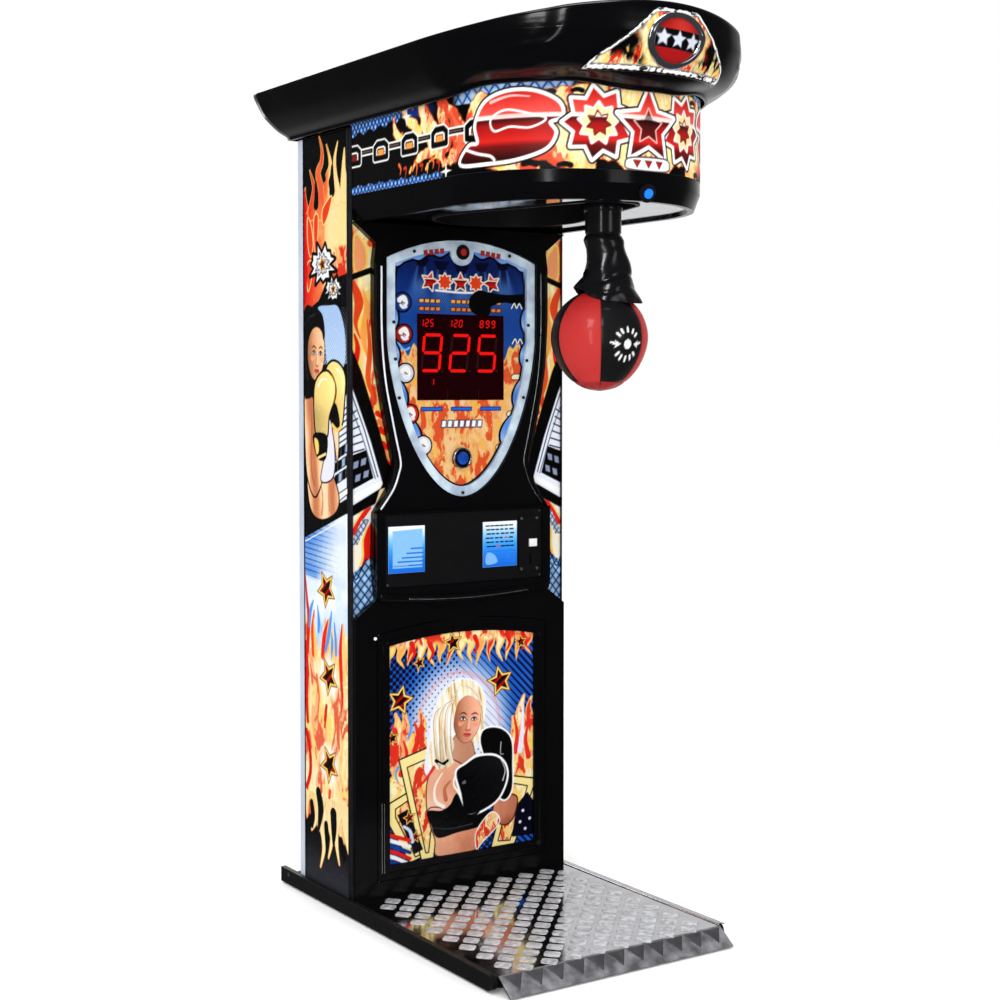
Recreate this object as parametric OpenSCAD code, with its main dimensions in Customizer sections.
// Free-standing boxing punch machine: shallow cabinet on a tread-plate base, an overhanging
// round-fronted head, and a punch ball on an arm that folds up into a recess in the head.
// Millimetres. Origin on the floor at the centre of the plan, +Z up, the player stands at -Y.

/* [Cabinet] */
// Width over the side panels
cab_w = 700; // [640:5:760]
// Depth from the front board to the back
cab_d = 310; // [280:5:360]
// Height of the top of the side panels above the floor
cab_top = 2163; // [2155:1:2163]
// Thickness of the side panels
side_t = 18; // [12:1:22]
// Thickness of the front board and the rear panel
board_t = 12; // [9:1:14]

/* [Base] */
// Height of the tread plate above the floor
base_h = 45; // [40:1:50]
// Length of the flat plate in front of the cabinet
plate_reach = 720; // [600:10:800]
// Thickness of the tread plate
plate_t = 3; // [2:0.5:4]
// Thickness of the rubber feet
foot_t = 5; // [4:1:8]
// Diameter of the transport wheels
wheel_d = 60; // [50:1:64]

/* [Head] */
// Distance from the cabinet's front to the centre of the round front
head_reach = 500; // [440:10:520]
// Height of the underside of the head above the floor
head_bottom = 1905; // [1880:5:1920]
// Lower edge of the printed marquee band
band_bottom = 1975; // [1960:5:1990]
// Lower edge of the hood
hood_bottom = 2163; // [2163:1:2166]
// Flare of the hood beyond the marquee at its lip
hood_flare = 100; // [60:5:110]
// Height of the hood's lip above the floor
hood_lip = 2293; // [2270:1:2300]
// Rise of the brow over the front of the hood
brow_rise = 72; // [40:1:80]

/* [Punch ball] */
// Diameter of the punch ball
ball_d = 241; // [220:1:244]
// Height of the ball's centre above the floor
ball_z = 1580; // [1560:5:1600]
// Height of the arm's pivot above the floor
pivot_z = 2000; // [1990:5:2005]
// Distance of the arm's pivot in front of the cabinet
pivot_reach = 670; // [655:5:680]
// Diameter of the pivot shaft
shaft_d = 25; // [20:1:28]

/* [Display and buttons] */
// Half width of the shield-shaped display
shield_hw = 248; // [230:1:255]
// Height of the shield's shoulders
shield_shoulder = 1812; // [1800:1:1820]
// Height of the shield's upper apex
shield_top = 1870; // [1860:1:1880]
// Height of the shield's lower apex
shield_low = 1148; // [1140:1:1160]
// Width of the silver bezel
bezel_w = 28; // [20:1:34]

/* [Hidden] */

fine = 96;
half_w = cab_w / 2;
front_y = 270;
back_y = front_y + cab_d;
arc_y = front_y - head_reach;
inner_hw = half_w - side_t - 0.2;
gap = 0.3;

// Base
frame_t = base_h - plate_t - foot_t;
rail_w = 15;
rail_end = 680;
plate_front = front_y - plate_reach;
ramp_run = 55;
axle_y = 632;
axle_d = 12;
axle_z = wheel_d / 2 + 3;
wheel_w = 24;
wheel_x = 300;

// Openings of the front board and of the black moulding
door_hw = 281;
door_bottom = 92;
door_top = 802;
door_arc_r = 1340;
door_gap = 2.5;
door_front = 250;
door_t = 18;
door_open_hw = 274;
door_open_low = 108;
door_open_top = 735;
art_hw = 240;
art_bottom = 133;
art_inset = 38;
coin_hw = 262;
coin_low = 905;
coin_high = 1105;
coin_open_hw = 256;

// Front of the moulding
mould_front = 250;
belly_front = 236;
panel_front = 240;

// Shield display
shield_curve = 1.6;
shield_round = 0.53;
shield_mid = 1600;
window_hw = 145;
window_low = 1420;
window_high = 1662;
select_z = 1837;
tourn_z = 1256;
select_hole = 26;
tourn_hole = 42;
screw_places = [[159, 1833], [225, 1636], [220, 1534], [208, 1427]];
coin_screws = [[187, 1078], [241, 1078], [187, 932], [241, 932]];

// Door hinges and locks
hinge_x = -276;
hinge_y = 255;
hinge_pin_d = 5;
lock_x = 258;
lock_z = 122;
lock_d = 16;
rear_hw = 180;
rear_low = 701;
rear_high = 1299;
rear_hinge_x = -175;
rear_hinge_y = back_y - 5;
rear_lock_x = 165;
rear_lock_z = 1000;

// Coin slot
slot_x = 220;
slot_w = 5;
slot_low = 944;
slot_high = 974;
return_x = 228;
return_z = 1007;
return_w = 26;
return_h = 22;

// Swing and recess
pivot_y = front_y - pivot_reach;
arm_r = 18;
egg_front_y = pivot_y + 5;
egg_front_r = 85;
egg_back_y = 20;
egg_back_r = 200;
tub_t = 3;
tub_top = 2130;
skin_z = head_bottom + 7;
skin_t = 3;
bracket_x = 118;
bracket_t = 8;
bearing_w = 18;
frame_z = 2135;
tube = 30;
latch_x = 42;
latch_z = pivot_z + 72;
latch_y = pivot_y + 60;
plunger_z = pivot_z + 40;

// Hood
hood_t = 4;
hood_back = 108;
rim_off = 15;
hood_levels = [[hood_bottom, rim_off], [2190, 45], [2230, 78], [hood_lip, hood_flare], [2500, hood_flare]];
emblem_z = 2271;
emblem_hw = 82;
emblem_hh = 64;

function smooth(t) = t <= 0 ? 0 : t >= 1 ? 1 : t * t * (3 - 2 * t);

// Half width of the shield at a height, from its shoulders down to the lower apex
function shield_half(z, inset) =
    let (t = max(0, min(1, (shield_mid - z) / (shield_mid - shield_low - inset))))
    (shield_hw - inset) * pow(1 - pow(t, shield_curve), shield_round);

function shield_right(inset, n = 36) = [for (i = [0:n])
    let (s = sin(90 * i / n),
         z = shield_shoulder - inset / 2 - s * (shield_shoulder - 1.5 * inset - shield_low))
    [shield_half(z, inset), z]];

function shield_arch(inset, n = 16) = [for (i = [1:n - 1])
    let (x = -(shield_hw - inset) * cos(180 * i / n),
         rise = shield_top - inset - shield_shoulder + inset / 2)
    [x, shield_shoulder - inset / 2 + rise * (1 - pow(x / (shield_hw - inset), 2))]];

module shield(inset = 0) {
    right = shield_right(inset);
    left = [for (i = [len(right) - 2:-1:0]) [-right[i][0], right[i][1]]];
    polygon(concat(right, left, shield_arch(inset)));
}

// Extrudes an outline drawn in X and Z from y0 to y1
module face_plate(y0, y1) {
    translate([0, y1, 0])
        rotate([90, 0, 0])
            linear_extrude(y1 - y0)
                children();
}

module rect_xz(x0, x1, z0, z1) {
    translate([x0, z0])
        square([x1 - x0, z1 - z0]);
}

module block(x0, x1, y0, y1, z0, z1) {
    translate([x0, y0, z0])
        cube([x1 - x0, y1 - y0, z1 - z0]);
}

module rod_x(x0, x1, y, z, d) {
    translate([x0, y, z])
        rotate([0, 90, 0])
            cylinder(d = d, h = x1 - x0, $fn = fine);
}

module rod_y(x, y0, y1, z, d) {
    translate([x, y1, z])
        rotate([90, 0, 0])
            cylinder(d = d, h = y1 - y0, $fn = fine);
}

module rod_z(x, y, z0, z1, d) {
    translate([x, y, z0])
        cylinder(d = d, h = z1 - z0, $fn = fine);
}

// Plan of the head: straight sides and a round front
module head_plan(off) {
    translate([0, arc_y])
        circle(r = half_w + off, $fn = fine);
    translate([-half_w - off, arc_y])
        square([cab_w + 2 * off, head_reach]);
}

// A wall of the head: one profile of radius and height, swept along the plan of the head
module head_wall(profile) {
    translate([0, arc_y, 0])
        rotate([0, 0, 180])
            rotate_extrude(angle = 180, $fn = fine)
                polygon(profile);
    for (side = [0, 1])
        mirror([side, 0, 0])
            translate([0, front_y, 0])
                rotate([90, 0, 0])
                    linear_extrude(head_reach)
                        polygon(profile);
}

// Egg-shaped plan of the recess: two circles and their common tangents
module egg(off) {
    s = (egg_back_r - egg_front_r) / (egg_back_y - egg_front_y);
    c = sqrt(1 - s * s);
    r1 = egg_front_r + off;
    r2 = egg_back_r + off;
    translate([0, egg_front_y])
        circle(r = r1, $fn = fine);
    translate([0, egg_back_y])
        circle(r = r2, $fn = fine);
    polygon([[r1 * c, egg_front_y - r1 * s], [r2 * c, egg_back_y - r2 * s],
        [-r2 * c, egg_back_y - r2 * s], [-r1 * c, egg_front_y - r1 * s]]);
}

// Arched outline of the lower door, inset all round
module door_shape(inset) {
    intersection() {
        rect_xz(-door_hw + inset, door_hw - inset, door_bottom + inset, door_top);
        translate([0, door_top - door_arc_r])
            circle(r = door_arc_r - inset, $fn = 360);
    }
}

// ---------------------------------------------------------------- base

module base_plate() {
    color("silver")
        rotate([90, 0, 90])
            translate([0, 0, -half_w + 0.5])
                linear_extrude(cab_w - 1)
                    polygon([[plate_front, base_h], [back_y, base_h], [back_y, base_h - plate_t],
                        [plate_front - 1, base_h - plate_t], [plate_front - ramp_run + 2, 3.5],
                        [plate_front - ramp_run, 6]]);
}

module base_frame() {
    z0 = foot_t;
    z1 = base_h - plate_t;
    wall = 3;
    color([0.15, 0.15, 0.16])
        for (y = [plate_front + 30, -60, front_y - 10, back_y - 40])
            difference() {
                block(-half_w + 0.5, half_w - 0.5, y, y + 40, z0, z1);
                block(-half_w, half_w, y + wall, y + 40 - wall, z0 + wall, z1 - wall);
            }
}

module side_rails() {
    nose = 20;
    color([0.06, 0.06, 0.07])
        for (side = [0, 1])
            mirror([side, 0, 0])
                difference() {
                    union() {
                        block(half_w, half_w + rail_w, plate_front + nose, rail_end, foot_t, base_h + 2);
                        rod_x(half_w, half_w + rail_w, plate_front + nose, base_h + 2 - nose, 2 * nose);
                    }
                    rod_x(half_w - 1, half_w + rail_w + 1, axle_y, axle_z, axle_d);
                }
}

module rubber_feet() {
    color([0.05, 0.05, 0.05])
        for (side = [-1, 1], y = [plate_front + 50, front_y + 10, back_y - 20])
            rod_z(side * (half_w - 40), y, 0, foot_t, 36);
}

module wheel_axle() {
    color("silver")
        rod_x(-half_w - rail_w, half_w + rail_w, axle_y, axle_z, axle_d);
}

module transport_wheel(x) {
    tyre = 4;
    color([0.1, 0.1, 0.1])
        difference() {
            union() {
                rod_x(x - wheel_w / 2 + tyre, x + wheel_w / 2 - tyre, axle_y, axle_z, wheel_d);
                rod_x(x - wheel_w / 2, x + wheel_w / 2, axle_y, axle_z, wheel_d - 2 * tyre);
            }
            rod_x(x - wheel_w, x + wheel_w, axle_y, axle_z, axle_d + 0.1);
        }
}

module wheel_left() {
    transport_wheel(-wheel_x);
}

module wheel_right() {
    transport_wheel(wheel_x);
}

// ---------------------------------------------------------------- cabinet

module side_panel_left() {
    color([0.9, 0.5, 0.2])
        block(-half_w, -half_w + side_t, front_y, back_y, base_h, cab_top);
}

module side_panel_right() {
    color([0.9, 0.5, 0.2])
        block(half_w - side_t, half_w, front_y, back_y, base_h, cab_top);
}

module front_board() {
    color([0.85, 0.5, 0.25])
        face_plate(front_y, front_y + board_t)
            difference() {
                rect_xz(-inner_hw, inner_hw, base_h, head_bottom - 1);
                rect_xz(-window_hw - 10, window_hw + 10, window_low - 10, window_high + 10);
                rect_xz(-coin_open_hw, coin_open_hw, coin_low + 10, coin_high - 10);
                rect_xz(-door_open_hw, door_open_hw, door_open_low, door_open_top);
                translate([0, select_z])
                    circle(d = select_hole, $fn = fine);
                translate([0, tourn_z])
                    circle(d = tourn_hole, $fn = fine);
            }
}

module rear_panel() {
    color([0.2, 0.2, 0.2])
        face_plate(back_y - board_t, back_y)
            difference() {
                rect_xz(-inner_hw, inner_hw, base_h, cab_top - 1);
                rect_xz(-rear_hw - door_gap, rear_hw + door_gap, rear_low - door_gap, rear_high + door_gap);
                rect_xz(-229, -181, 136, 164);
                for (x = [-150:30:150], z = [1500, 1560])
                    rect_xz(x - 4, x + 4, z - 20, z + 20);
            }
}

module corner_trims() {
    t = 1.5;
    for (side = [0, 1])
        mirror([side, 0, 0]) {
            color([0.1, 0.1, 0.12])
                block(half_w, half_w + t, front_y - 8, front_y + 22, base_h + 3, cab_top);
            color([0.8, 0.8, 0.82])
                block(half_w, half_w + t, back_y - 32, back_y, base_h + 3, cab_top);
        }
}

// Outline of the black moulding: wide at the top and bottom, waisted below the shield
module mould_outline() {
    half = [[half_w, head_bottom - 1], [283, 1850], [290, 1800], [290, 1650], [282, 1515], [262, 1400],
        [228, 1245], [245, 1180], [290, 1112], [294, 980], [284, 872], [half_w, 823], [half_w, base_h + gap]];
    other = [for (i = [len(half) - 1:-1:0]) [-half[i][0], half[i][1]]];
    polygon(concat(half, other));
}

module front_moulding() {
    wall = 4;
    color([0.05, 0.05, 0.06])
        difference() {
            union() {
                face_plate(mould_front, front_y - gap)
                    mould_outline();
                face_plate(belly_front, mould_front)
                    intersection() {
                        rect_xz(-290, 290, 850, 1112);
                        translate([0, 850 + door_arc_r])
                            circle(r = door_arc_r, $fn = 360);
                    }
            }
            face_plate(belly_front - 1, front_y)
                shield(-2);
            face_plate(belly_front - 1, front_y)
                rect_xz(-coin_hw - 1, coin_hw + 1, coin_low - 1, coin_high + 1);
            face_plate(belly_front - 1, front_y)
                door_shape(-door_gap);
            face_plate(mould_front + wall, front_y)
                rect_xz(-half_w + wall, half_w - wall, base_h + wall, door_bottom - 2 * wall);
        }
}

module shield_bezel() {
    color([0.7, 0.75, 0.85])
        face_plate(front_y - 14, front_y - 6 - gap)
            difference() {
                shield();
                difference() {
                    shield(bezel_w);
                    translate([0, select_z])
                        circle(d = 74, $fn = fine);
                }
                translate([0, select_z])
                    circle(d = select_hole, $fn = fine);
                screw_holes(4.2);
            }
}

module display_panel() {
    color([0.2, 0.4, 0.8])
        face_plate(front_y - 6, front_y - gap)
            difference() {
                shield(1);
                rect_xz(-window_hw, window_hw, window_low, window_high);
                translate([0, select_z])
                    circle(d = select_hole, $fn = fine);
                translate([0, tourn_z])
                    circle(d = tourn_hole, $fn = fine);
                screw_holes(4.2);
            }
}

module screw_holes(d) {
    for (side = [-1, 1], p = screw_places)
        translate([side * p[0], p[1]])
            circle(d = d, $fn = 24);
    translate([0, shield_low + 10])
        circle(d = d, $fn = 24);
}

module led_window() {
    color([0.15, 0, 0, 0.8])
        block(-window_hw + gap, window_hw - gap, front_y - 5, front_y - 2, window_low + gap, window_high - gap);
}

module digit_board() {
    digit_z = 1552;
    color([0.1, 0.3, 0.1])
        block(-window_hw - 5, window_hw + 5, front_y + 14, front_y + 16, window_low - 5, window_high + 5);
    color([0.9, 0.1, 0.05])
        for (x = [-88, 12, 112])
            block(x - 38, x + 38, front_y + 2, front_y + 14 - gap, digit_z - 62, digit_z + 62);
}

module panel_screw(x, z, y, length) {
    rod_y(x, y - 3, y, z, 9);
    rod_y(x, y, y + length, z, 4);
}

module panel_screws() {
    color([0.1, 0.1, 0.1]) {
        for (side = [-1, 1], p = screw_places)
            panel_screw(side * p[0], p[1], front_y - 14, 13);
        panel_screw(0, shield_low + 10, front_y - 14, 13);
        for (p = coin_screws)
            panel_screw(p[0], p[1], panel_front - 3, 6);
    }
}

// ---------------------------------------------------------------- buttons

// The start button looks forward and down out of the sloping rim of the head
module at_start_button() {
    translate([0, arc_y - half_w + 7, head_bottom + 20])
        rotate([20, 0, 0])
            children();
}

module button_housings() {
    color([0.05, 0.05, 0.05])
        difference() {
            union() {
                rod_y(0, front_y - 18, front_y - 14, select_z, 42);
                rod_y(0, front_y - 14, front_y + 20, select_z, select_hole - 0.4);
            }
            rod_y(0, front_y - 19, front_y + 16, select_z, 20.6);
        }
    color([0.8, 0.8, 0.82])
        difference() {
            union() {
                rod_y(0, front_y - 14, front_y - 6, tourn_z, 60);
                rod_y(0, front_y - 6, front_y + 24, tourn_z, tourn_hole - 0.4);
            }
            rod_y(0, front_y - 15, front_y + 20, tourn_z, 36.6);
        }
    color([0.05, 0.05, 0.05])
        at_start_button()
            difference() {
                union() {
                    rod_y(0, -7, 2, 0, 46);
                    rod_y(0, 2, 34, 0, 27.6);
                }
                rod_y(0, -8, 30, 0, 24.6);
            }
}

module select_button() {
    color([0.8, 0.1, 0.08])
        rod_y(0, front_y - 21, front_y + 8, select_z, 20);
}

module tournament_button() {
    color([0.1, 0.25, 0.6])
        rod_y(0, front_y - 17, front_y + 8, tourn_z, 36);
}

module start_button() {
    color([0.1, 0.5, 0.95])
        at_start_button()
            rod_y(0, -11, 18, 0, 24);
}

// ---------------------------------------------------------------- coin section

module coin_panel() {
    color([0.05, 0.05, 0.06])
        face_plate(panel_front, panel_front + 4)
            difference() {
                rect_xz(-coin_hw, coin_hw, coin_low, coin_high);
                rect_xz(slot_x - 8, slot_x + 8, slot_low - 5, slot_high + 5);
                rect_xz(return_x - return_w / 2 - 2, return_x + return_w / 2 + 2,
                    return_z - return_h / 2 - 2, return_z + return_h / 2 + 2);
                for (p = coin_screws)
                    translate(p)
                        circle(d = 4.2, $fn = 24);
            }
}

module instruction_cards() {
    color([0.35, 0.65, 0.95])
        for (x = [-253, 57])
            block(x, x + 117, panel_front - 1.5, panel_front, 943, 1073);
}

module coin_plate() {
    color([0.08, 0.08, 0.09])
        face_plate(panel_front - 3, panel_front)
            difference() {
                rect_xz(180, 248, 925, 1085);
                rect_xz(slot_x - slot_w / 2, slot_x + slot_w / 2, slot_low, slot_high);
                rect_xz(return_x - return_w / 2 - 0.4, return_x + return_w / 2 + 0.4,
                    return_z - return_h / 2 - 0.4, return_z + return_h / 2 + 0.4);
                for (p = coin_screws)
                    translate(p)
                        circle(d = 4.2, $fn = 24);
            }
}

module coin_return_button() {
    color([0.95, 0.95, 0.95])
        block(return_x - return_w / 2, return_x + return_w / 2, panel_front - 7, panel_front + 3,
            return_z - return_h / 2, return_z + return_h / 2);
}

module coin_validator() {
    color([0.2, 0.2, 0.22])
        difference() {
            block(184, 246, panel_front + 12, front_y + 60, 928, 1084);
            block(slot_x - 3, slot_x + 3, panel_front + 11, front_y + 36, slot_low - 2, slot_high + 2);
            block(slot_x - 3, slot_x + 3, front_y + 26, front_y + 36, 927, slot_high + 2);
        }
}

module coin_chute() {
    color([0.7, 0.7, 0.72])
        difference() {
            block(205, 235, front_y + 24, front_y + 54, 300, 926);
            block(207, 233, front_y + 26, front_y + 52, 299, 927);
        }
}

module cash_box() {
    color([0.55, 0.57, 0.6])
        difference() {
            block(-60, 225, front_y + 20, front_y + 170, base_h, 250);
            block(-58, 223, front_y + 22, front_y + 168, base_h + 2, 251);
        }
}

// ---------------------------------------------------------------- doors

module door_hinges() {
    color("silver") {
        rod_z(hinge_x, hinge_y, door_bottom - 12, door_bottom + 18, hinge_pin_d);
        rod_z(hinge_x, hinge_y, door_top - 52, door_top - 18, hinge_pin_d);
        rod_z(rear_hinge_x, rear_hinge_y, rear_low - 14, rear_low + 18, hinge_pin_d);
        rod_z(rear_hinge_x, rear_hinge_y, rear_high - 18, rear_high + 14, hinge_pin_d);
    }
}

module lower_door() {
    color([0.05, 0.05, 0.06])
        difference() {
            face_plate(door_front, door_front + door_t)
                door_shape(0);
            face_plate(door_front - 1, door_front + 8)
                door_shape(art_inset);
            rod_z(hinge_x, hinge_y, door_bottom - 1, door_bottom + 19, hinge_pin_d + 0.1);
            rod_z(hinge_x, hinge_y, door_top - 53, door_top, hinge_pin_d + 0.1);
            rod_y(lock_x, door_front - 1, door_front + door_t + 1, lock_z, lock_d + 0.1);
        }
}

module door_art() {
    color([0.3, 0.5, 0.9])
        face_plate(door_front + 5, door_front + 8)
            door_shape(art_inset + 0.5);
}

// Key cylinder with a cam on its inner end; free, the cam points up
module cam_lock(x, z, y_face, y_end, cam_y, cam_t) {
    color([0.75, 0.75, 0.78])
        difference() {
            union() {
                rod_y(x, y_face, y_end, z, lock_d);
                rod_y(x, min(cam_y, y_end) - 0.1, max(cam_y + cam_t, y_end), z, lock_d - 4);
                block(x - 6, x + 6, cam_y, cam_y + cam_t, z, z + 34);
            }
            block(x - 1.2, x + 1.2, y_face - 1, y_face + 2, z - 4, z + 4);
        }
}

module door_lock() {
    cam_lock(lock_x, lock_z, door_front - 3, front_y + board_t, front_y + board_t + 1, 3);
}

module rear_door() {
    color([0.18, 0.18, 0.18])
        difference() {
            face_plate(back_y - board_t, back_y)
                rect_xz(-rear_hw, rear_hw, rear_low, rear_high);
            rod_z(rear_hinge_x, rear_hinge_y, rear_low - 1, rear_low + 19, hinge_pin_d + 0.1);
            rod_z(rear_hinge_x, rear_hinge_y, rear_high - 19, rear_high + 1, hinge_pin_d + 0.1);
            rod_y(rear_lock_x, back_y - board_t - 1, back_y + 1, rear_lock_z, lock_d + 0.1);
        }
}

module rear_lock() {
    translate([0, 2 * back_y, 0])
        mirror([0, 1, 0])
            cam_lock(rear_lock_x, rear_lock_z, back_y - 3, back_y + board_t, back_y + board_t + 1, 3);
}

// ---------------------------------------------------------------- electrics

module control_board() {
    x = -inner_hw + 6;
    color([0.1, 0.35, 0.15])
        block(x, x + 2, 330, 530, 1300, 1450);
    color([0.12, 0.12, 0.12])
        for (y = [350, 400, 450, 500], z = [1320, 1380])
            block(x + 2, x + 12, y, y + 22, z, z + 40);
    color("silver")
        for (y = [338, 522], z = [1308, 1442])
            rod_x(-inner_hw, x, y, z, 6);
}

module power_supply() {
    color([0.6, 0.6, 0.62])
        block(-300, -120, 420, 520, base_h, base_h + 60);
}

module mains_inlet() {
    color([0.05, 0.05, 0.05])
        difference() {
            union() {
                block(-228.5, -181.5, back_y - 24, back_y, 136.5, 163.5);
                block(-235, -175, back_y, back_y + 3, 130, 170);
            }
            block(-218, -192, back_y - 18, back_y + 4, 141, 159);
        }
}

// ---------------------------------------------------------------- head

module head_frame() {
    x0 = 232;
    y_end = back_y - board_t - 3;
    z1 = frame_z + tube;
    color([0.15, 0.15, 0.17]) {
        for (side = [0, 1])
            mirror([side, 0, 0]) {
                block(x0, x0 + tube, pivot_y + 25.2, y_end, frame_z, z1);
                block(x0, x0 + tube, y_end - tube, y_end, base_h, frame_z - 0.2);
            }
        block(-x0 - tube, x0 + tube, pivot_y - 25, pivot_y + 25, frame_z, z1);
        block(-x0 + 0.2, x0 - 0.2, y_end - tube, y_end, frame_z, z1);
    }
}

// Plan points of the hood at an offset from the head's outline: right side, round front, left side, back
function hood_ring(off, back, z_side, brow) =
    let (r = half_w + off, n_side = 8, n_arc = 28, n_back = 6,
         side = [for (i = [0:n_side]) let (t = i / n_side) [r, back + t * (arc_y - back), z_side]],
         arc = [for (i = [1:n_arc - 1]) let (a = 180 * i / n_arc, rise = brow * smooth(1 - abs(a - 90) / 90))
             [r * cos(a), arc_y - r * sin(a), z_side + rise]],
         left = [for (i = [n_side:-1:0]) [-side[i][0], side[i][1], z_side]],
         rear = [for (i = [1:n_back - 1]) [-r + 2 * r * i / n_back, back, z_side]])
    concat(side, arc, left, rear);

// Rings of the hood from its lower rim over the lip and the brow to the middle of the roof
function hood_rings(t) = [
    hood_ring(rim_off - t, back_y + 30 - t, hood_bottom, 0),
    hood_ring(45 - t, back_y + 55 - t, 2190, 0),
    hood_ring(78 - t, back_y + 82 - t, 2230, 0),
    hood_ring(hood_flare - t, back_y + hood_back - t, hood_lip - t, 0),
    hood_ring(hood_flare - 1 - t, back_y + hood_back - 1 - t, hood_lip + 4 - t, brow_rise * 0.8 - 4),
    hood_ring(hood_flare - 12 - t, back_y + hood_back - 12 - t, hood_lip + 6 - t, brow_rise - 8),
    hood_ring(50 - t, back_y + 60 - t, hood_lip + 9 - t, brow_rise - 9),
    hood_ring(-40, back_y - 40, hood_lip + 16 - t, 0.7 * brow_rise),
    hood_ring(-150, back_y - 150, hood_lip + 24 - t, 0.42 * brow_rise),
    hood_ring(-280, back_y - 250, hood_lip + 31 - t, 0.15 * brow_rise)];

module hood() {
    outer = hood_rings(0);
    inner = hood_rings(hood_t);
    rings = concat([for (i = [len(inner) - 1:-1:0]) inner[i]], outer);
    n = len(outer[0]);
    last = len(rings) - 1;
    middles = [for (k = [0, last]) [0, (arc_y + back_y) / 2 - 200, rings[k][0][2]]];
    points = concat([for (ring = rings, p = ring) p], middles);
    hub = n * len(rings);
    walls = [for (k = [0:last - 1], i = [0:n - 1]) let (j = (i + 1) % n)
        each [[k * n + i, (k + 1) * n + i, (k + 1) * n + j], [k * n + i, (k + 1) * n + j, k * n + j]]];
    caps = [for (i = [0:n - 1]) let (j = (i + 1) % n)
        each [[hub, i, j], [hub + 1, last * n + j, last * n + i]]];
    color([0.04, 0.04, 0.05])
        polyhedron(points, concat(walls, caps));
}

// A thin piece lying on the flared front of the hood. rows gives [height, half angle] pairs.
module hood_patch(rows, lift, thick) {
    cols = 16;
    function skin(z, a, off) = let (r = half_w + lookup(z, hood_levels) + off)
        [r * sin(a), arc_y - r * cos(a), z];
    layer_n = len(rows) * (cols + 1);
    points = [for (off = [lift, lift + thick], row = rows, i = [0:cols])
        skin(row[0], row[1] * (2 * i / cols - 1), off)];
    function id(layer, k, i) = layer * layer_n + k * (cols + 1) + i;
    last = len(rows) - 1;
    faces = concat(
        [for (k = [0:last - 1], i = [0:cols - 1])
            each [[id(1, k, i), id(1, k + 1, i), id(1, k + 1, i + 1)], [id(1, k, i), id(1, k + 1, i + 1), id(1, k, i + 1)],
                [id(0, k, i), id(0, k + 1, i + 1), id(0, k + 1, i)], [id(0, k, i), id(0, k, i + 1), id(0, k + 1, i + 1)]]],
        [for (k = [0:last - 1])
            each [[id(0, k, 0), id(0, k + 1, 0), id(1, k + 1, 0)], [id(0, k, 0), id(1, k + 1, 0), id(1, k, 0)],
                [id(0, k, cols), id(1, k + 1, cols), id(0, k + 1, cols)], [id(0, k, cols), id(1, k, cols), id(1, k + 1, cols)]]],
        [for (i = [0:cols - 1])
            each [[id(0, 0, i), id(1, 0, i), id(1, 0, i + 1)], [id(0, 0, i), id(1, 0, i + 1), id(0, 0, i + 1)],
                [id(0, last, i), id(1, last, i + 1), id(1, last, i)], [id(0, last, i), id(0, last, i + 1), id(1, last, i + 1)]]]);
    polyhedron(points, faces);
}

module hood_window() {
    color([0.9, 0.5, 0.15])
        hood_patch([[2197, 31], [2215, 28], [2230, 25.5], [2250, 21.5], [2273, 17.5], [2293, 14.5], [2315, 11.5],
            [2335, 9], [2344, 7]], 1.2, 1.5);
}

module hood_emblem() {
    steps = 14;
    rows = [for (i = [0:steps]) let (a = 8 + (180 - 16) * i / steps)
        [emblem_z - emblem_hh * cos(a), emblem_hw * sin(a) / 7.7]];
    color([0.75, 0.1, 0.1])
        hood_patch(rows, 4.8, 5);
}

module marquee_panel() {
    t = 4;
    color([0.9, 0.3, 0.15])
        head_wall([[half_w, band_bottom], [half_w, hood_bottom - gap], [half_w - t, hood_bottom - gap],
            [half_w - t, band_bottom]]);
}

module marquee_rim() {
    w = 32;
    color([0.05, 0.05, 0.06])
        difference() {
            head_wall([[half_w, band_bottom - gap], [half_w, head_bottom + 40], [half_w - 15, head_bottom],
                [half_w - w, head_bottom], [half_w - w, head_bottom + 20], [half_w - 12, head_bottom + 32],
                [half_w - 12, band_bottom - gap]]);
            at_start_button() {
                rod_y(0, -20, 2.4, 0, 46.6);
                rod_y(0, 2, 60, 0, 28.2);
            }
        }
}

module underside_panel() {
    color([0.75, 0.75, 0.78])
        translate([0, 0, skin_z])
            linear_extrude(skin_t)
                difference() {
                    head_plan(-32.4);
                    egg(tub_t + gap);
                }
}

module recess_tub() {
    lip = 10;
    color([0.04, 0.04, 0.04])
        difference() {
            union() {
                translate([0, 0, skin_z - 3])
                    linear_extrude(2.7)
                        egg(lip);
                translate([0, 0, skin_z - 3])
                    linear_extrude(tub_top - skin_z + 3)
                        egg(tub_t);
            }
            translate([0, 0, skin_z - 4])
                linear_extrude(tub_top - tub_t - skin_z + 4)
                    egg(0);
            rod_x(-half_w, half_w, pivot_y, pivot_z, shaft_d + 15);
        }
}

module light_tube() {
    y = arc_y - 285;
    color([0.95, 0.95, 0.9])
        rod_x(-140, 140, y, 2080, 26);
    color([0.3, 0.3, 0.3])
        for (side = [-1, 1])
            translate([side * 148, 0, 0])
                block(-8 + gap, 8, y - 15, y + 15, 2064, 2110);
}

module speakers() {
    color([0.1, 0.1, 0.1])
        for (x = [-245, 245])
            translate([x, 205, skin_z + skin_t]) {
                cylinder(d = 104, h = 4, $fn = fine);
                translate([0, 0, 4])
                    cylinder(d1 = 96, d2 = 50, h = 24, $fn = fine);
                translate([0, 0, 28])
                    cylinder(d = 56, h = 14, $fn = fine);
            }
}

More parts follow.
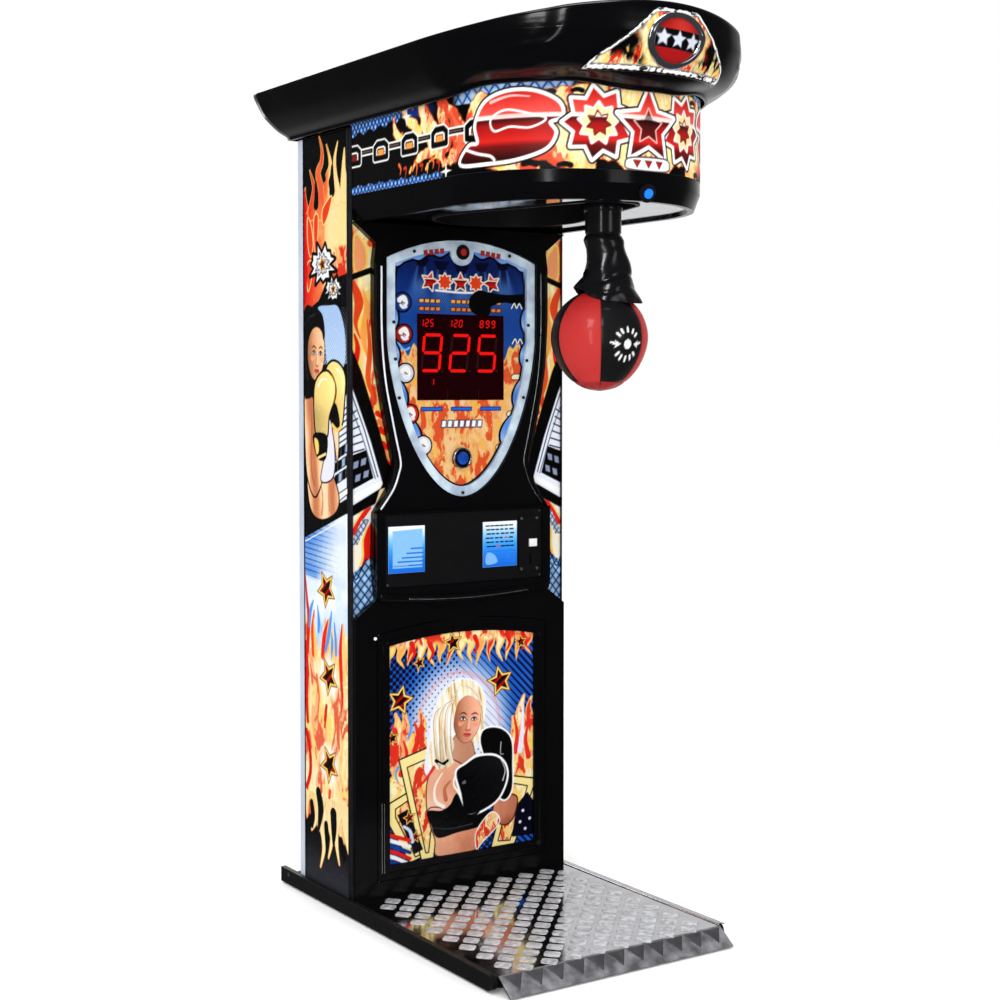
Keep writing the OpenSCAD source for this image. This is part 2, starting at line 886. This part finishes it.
module bearing_brackets() {
    color([0.5, 0.5, 0.52])
        for (side = [0, 1])
            mirror([side, 0, 0])
                difference() {
                    block(bracket_x, bracket_x + bracket_t, pivot_y - 45, pivot_y + 45, pivot_z - 45, frame_z);
                    rod_x(bracket_x - 1, bracket_x + bracket_t + 1, pivot_y, pivot_z, shaft_d + 1);
                }
}

module bearings() {
    color([0.35, 0.37, 0.4])
        for (side = [0, 1])
            mirror([side, 0, 0])
                difference() {
                    union() {
                        rod_x(bracket_x + bracket_t, bracket_x + bracket_t + 8, pivot_y, pivot_z, 78);
                        rod_x(bracket_x + bracket_t, bracket_x + bracket_t + bearing_w, pivot_y, pivot_z, 52);
                    }
                    rod_x(bracket_x, bracket_x + bracket_t + bearing_w + 1, pivot_y, pivot_z, shaft_d + 0.1);
                }
}

module arm_stops() {
    color([0.08, 0.08, 0.08]) {
        block(-15, 15, pivot_y + 12.5, pivot_y + 30, pivot_z + 36, tub_top - tub_t);
        block(-15, 15, pivot_y - 78, pivot_y - 45, pivot_z - 34, pivot_z - 10);
    }
}

module latch_solenoid() {
    plate_z = tub_top - tub_t - 4;
    color([0.5, 0.3, 0.15])
        difference() {
            block(latch_x + 18, latch_x + 52, latch_y - 8, latch_y + 20, plunger_z - 14, plunger_z + 14);
            rod_x(latch_x + 17, latch_x + 46, latch_y + 6, plunger_z, 8.1);
        }
    color([0.5, 0.5, 0.52]) {
        block(latch_x - 8, latch_x + 52, latch_y - 8, latch_y + 20, plate_z, plate_z + 4);
        block(latch_x + 40, latch_x + 52, latch_y - 8, latch_y + 20, plunger_z + 14, plate_z);
        for (y = [latch_y - 6, latch_y + 14])
            difference() {
                block(latch_x - 7, latch_x + 7, y, y + 4, latch_z - 8, plate_z);
                rod_y(latch_x, y - 1, y + 5, latch_z, 6.1);
            }
    }
}

module latch_plunger() {
    color("silver")
        rod_x(latch_x + 3.5, latch_x + 40, latch_y + 6, plunger_z, 8);
}

// Hook beside the arm: the arm passes it, and its toe tips in under the raised arm
module ball_latch() {
    color([0.6, 0.6, 0.62])
        union() {
            block(latch_x - 6, latch_x + 2, latch_y, latch_y + 12, pivot_z - 38, latch_z);
            block(latch_x - 18, latch_x - 5.9, latch_y, latch_y + 12, pivot_z - 38, pivot_z - 30);
            rod_y(latch_x, latch_y, latch_y + 12, latch_z, 14);
            rod_y(latch_x, latch_y - 6, latch_y + 18, latch_z, 6);
        }
}

module sensor_board() {
    x0 = bracket_x + bracket_t + bearing_w + 2;
    color([0.1, 0.35, 0.15])
        difference() {
            block(x0, x0 + 16, pivot_y - 12, pivot_y + 12, pivot_z + 30, frame_z);
            block(x0 + 5, x0 + 11, pivot_y - 13, pivot_y + 13, pivot_z + 29, pivot_z + 46);
        }
}

// ---------------------------------------------------------------- swing

module pivot_shaft() {
    color([0.7, 0.7, 0.73])
        rod_x(-bracket_x - bracket_t - bearing_w - 4, bracket_x + bracket_t + bearing_w + 14, pivot_y, pivot_z, shaft_d);
}

module sensor_disc() {
    x0 = bracket_x + bracket_t + bearing_w + 9;
    color([0.2, 0.2, 0.2])
        difference() {
            rod_x(x0, x0 + 2, pivot_y, pivot_z, 80);
            rod_x(x0 - 1, x0 + 3, pivot_y, pivot_z, shaft_d);
            for (a = [0:15:345])
                translate([x0 - 1, pivot_y, pivot_z])
                    rotate([a, 0, 0])
                        translate([0, -1.5, 31])
                            cube([4, 3, 6]);
        }
}

module swing_arm() {
    flange_z = ball_z + ball_d / 2 + 2;
    color([0.35, 0.35, 0.38])
        difference() {
            union() {
                rod_x(-32, 32, pivot_y, pivot_z, 56);
                rod_z(0, pivot_y, flange_z, pivot_z, 2 * arm_r);
                rod_z(0, pivot_y, flange_z, flange_z + 9, 88);
                block(-12, 12, pivot_y - 12, pivot_y + 12, pivot_z, pivot_z + 65);
            }
            rod_x(-33, 33, pivot_y, pivot_z, shaft_d);
        }
}

module ball_boot() {
    top = head_bottom + 10;
    hem = ball_z + 112;
    color([0.06, 0.06, 0.06])
        translate([0, pivot_y, 0])
            rotate_extrude($fn = fine)
                polygon([[44, top], [44, hem + 138], [50, hem + 115], [58, hem + 80], [68, hem + 45], [78, hem + 12],
                    [79, hem], [74, hem], [72, hem + 14], [62, hem + 45], [52, hem + 76], [45, hem + 100],
                    [38, hem + 130], [38, top]]);
}

module ball() {
    color([0.75, 0.12, 0.1])
        translate([0, pivot_y, ball_z])
            sphere(d = ball_d, $fn = fine);
}

base_plate();
base_frame();
side_rails();
rubber_feet();
wheel_axle();
wheel_left();
wheel_right();
side_panel_left();
side_panel_right();
front_board();
rear_panel();
corner_trims();
front_moulding();
shield_bezel();
display_panel();
led_window();
digit_board();
panel_screws();
button_housings();
select_button();
tournament_button();
start_button();
coin_panel();
instruction_cards();
coin_plate();
coin_return_button();
coin_validator();
coin_chute();
cash_box();
door_hinges();
lower_door();
door_art();
door_lock();
control_board();
power_supply();
mains_inlet();
rear_door();
rear_lock();
head_frame();
hood();
hood_window();
hood_emblem();
marquee_panel();
marquee_rim();
underside_panel();
recess_tub();
light_tube();
speakers();
bearing_brackets();
bearings();
arm_stops();
latch_solenoid();
latch_plunger();
ball_latch();
sensor_board();
pivot_shaft();
sensor_disc();
swing_arm();
ball_boot();
ball();
